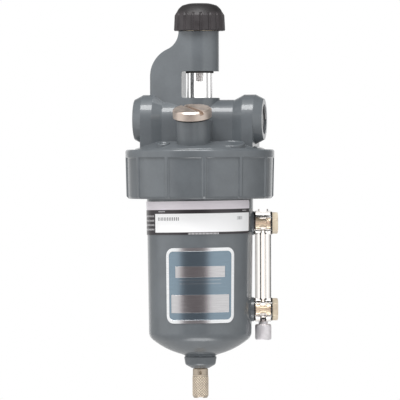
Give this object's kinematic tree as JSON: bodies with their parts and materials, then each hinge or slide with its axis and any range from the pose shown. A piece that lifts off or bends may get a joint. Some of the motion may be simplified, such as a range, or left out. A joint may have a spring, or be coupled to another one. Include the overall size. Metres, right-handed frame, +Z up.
{
  "type": "air line lubricator",
  "caption": "Compressed-air oil lubricator: cast head with two pipe ports, sight-feed glass under a fluted knob, ribbed clamp ring, metal bowl with a level gauge and a drain.",
  "frame": {"origin": "Centre of the inlet port's face, the port at the left when the fill plug faces the viewer.", "axes": "+X along the air flow from inlet to outlet, +Z up along the bowl's axis, -Y towards the fill plug."},
  "size_m": [0.1009, 0.0984, 0.2603],
  "materials": {
    "grey_paint": "satin bluish-grey paint on a die casting, fine orange peel",
    "ring_paint": "satin bluish-grey paint on the clamp ring",
    "bowl_paint": "satin bluish-grey paint on a drawn cup",
    "black_plastic": "moulded black nylon with a soft sheen",
    "clear_tube": "clear polished sight glass",
    "clear_block": "clear moulded plastic level gauge",
    "nozzle_plastic": "pale translucent drip nozzle",
    "plug_bronze": "pinkish turned bronze, satin",
    "brass": "pale yellow turned brass",
    "bright_aluminium": "knurled light aluminium",
    "steel": "turned steel",
    "rubber": "black nitrile rubber",
    "label_film": "printed white and dark film label",
    "badge_foil": "blue and silver metal foil badge"
  },
  "bodies": {
    "head": {"head_casting": "grey_paint", "valve_bonnet": "brass", "drip_nozzle": "nozzle_plastic", "needle_o_ring": "rubber", "sight_glass": "clear_tube", "glass_lower_seal": "rubber", "glass_upper_seal": "rubber", "venturi_insert": "brass", "orifice_plug": "brass", "check_valve_body": "brass", "ball_pin": "steel", "pickup_tube": "nozzle_plastic", "strainer": "brass"},
    "needle": {"needle_valve": "steel"},
    "knob": {"adjusting_knob": "black_plastic"},
    "fill_seal": {"fill_plug_seal": "rubber"},
    "fill_cap": {"fill_plug": "plug_bronze"},
    "ball": {"check_ball": "steel"},
    "cup": {"bowl": "bowl_paint", "bowl_seal": "rubber", "level_gauge": "clear_block", "upper_gauge_bolt": "brass", "lower_gauge_bolt": "brass", "upper_gauge_inner_seal": "rubber", "upper_gauge_outer_seal": "rubber", "lower_gauge_inner_seal": "rubber", "lower_gauge_outer_seal": "rubber", "drain_bushing": "brass", "drain_bushing_gasket": "rubber", "rating_label": "label_film", "badge_plate": "badge_foil"},
    "ring": {"clamp_ring": "ring_paint"},
    "vent_seal": {"gauge_vent_seal": "rubber"},
    "vent": {"gauge_vent_screw": "bright_aluminium"},
    "tap_seal": {"drain_seal": "rubber"},
    "tap": {"drain_knob": "brass"}
  },
  "joints": [
    {"name": "knob_advance", "type": "slide", "parent": "head", "child": "needle", "axis": [0, 0, 1], "range_m": [0, 0.00241]},
    {"name": "knob_turn", "type": "hinge", "parent": "needle", "child": "knob", "pos_m": [0.043, 0, 0.0585], "axis": [0, 0, 1], "range_deg": [0, 1080]},
    {"name": "fill_cap_advance", "type": "slide", "parent": "head", "child": "fill_seal", "axis": [0, -0.2504, 0.9681], "range_m": [0, 0.00901]},
    {"name": "fill_cap_turn", "type": "hinge", "parent": "fill_seal", "child": "fill_cap", "pos_m": [0.043, -0.032, 0.0003], "axis": [0, -0.2504, 0.9681], "range_deg": [0, 2160]},
    {"name": "ring_advance", "type": "slide", "parent": "head", "child": "cup", "axis": [0, 0, -1], "range_m": [0, 0.00901]},
    {"name": "ring_turn", "type": "hinge", "parent": "cup", "child": "ring", "pos_m": [0.043, 0, -0.036], "axis": [0, 0, -1], "range_deg": [0, 1080]},
    {"name": "vent_advance", "type": "slide", "parent": "cup", "child": "vent_seal", "axis": [0, 0, -1], "range_m": [0, 0.00201]},
    {"name": "vent_turn", "type": "hinge", "parent": "vent_seal", "child": "vent", "pos_m": [0.08403, 0.00621, -0.14], "axis": [0, 0, -1], "range_deg": [0, 720]},
    {"name": "tap_advance", "type": "slide", "parent": "cup", "child": "tap_seal", "axis": [0, 0, -1], "range_m": [0, 0.00201]},
    {"name": "tap_turn", "type": "hinge", "parent": "tap_seal", "child": "tap", "pos_m": [0.043, 0, -0.17], "axis": [0, 0, -1], "range_deg": [0, 720]},
    {"name": "ball_lift", "type": "slide", "parent": "head", "child": "ball", "axis": [0, 0, 1], "range_m": [0, 0.0015]}
  ],
  "couplings": [
    {"joint": "knob_advance", "follows": "knob_turn", "m_per_rad": 0.00012732},
    {"joint": "fill_cap_advance", "follows": "fill_cap_turn", "m_per_rad": 0.00023873},
    {"joint": "ring_advance", "follows": "ring_turn", "m_per_rad": 0.00047746},
    {"joint": "vent_advance", "follows": "vent_turn", "m_per_rad": 0.00015915},
    {"joint": "tap_advance", "follows": "tap_turn", "m_per_rad": 0.00015915}
  ]
}
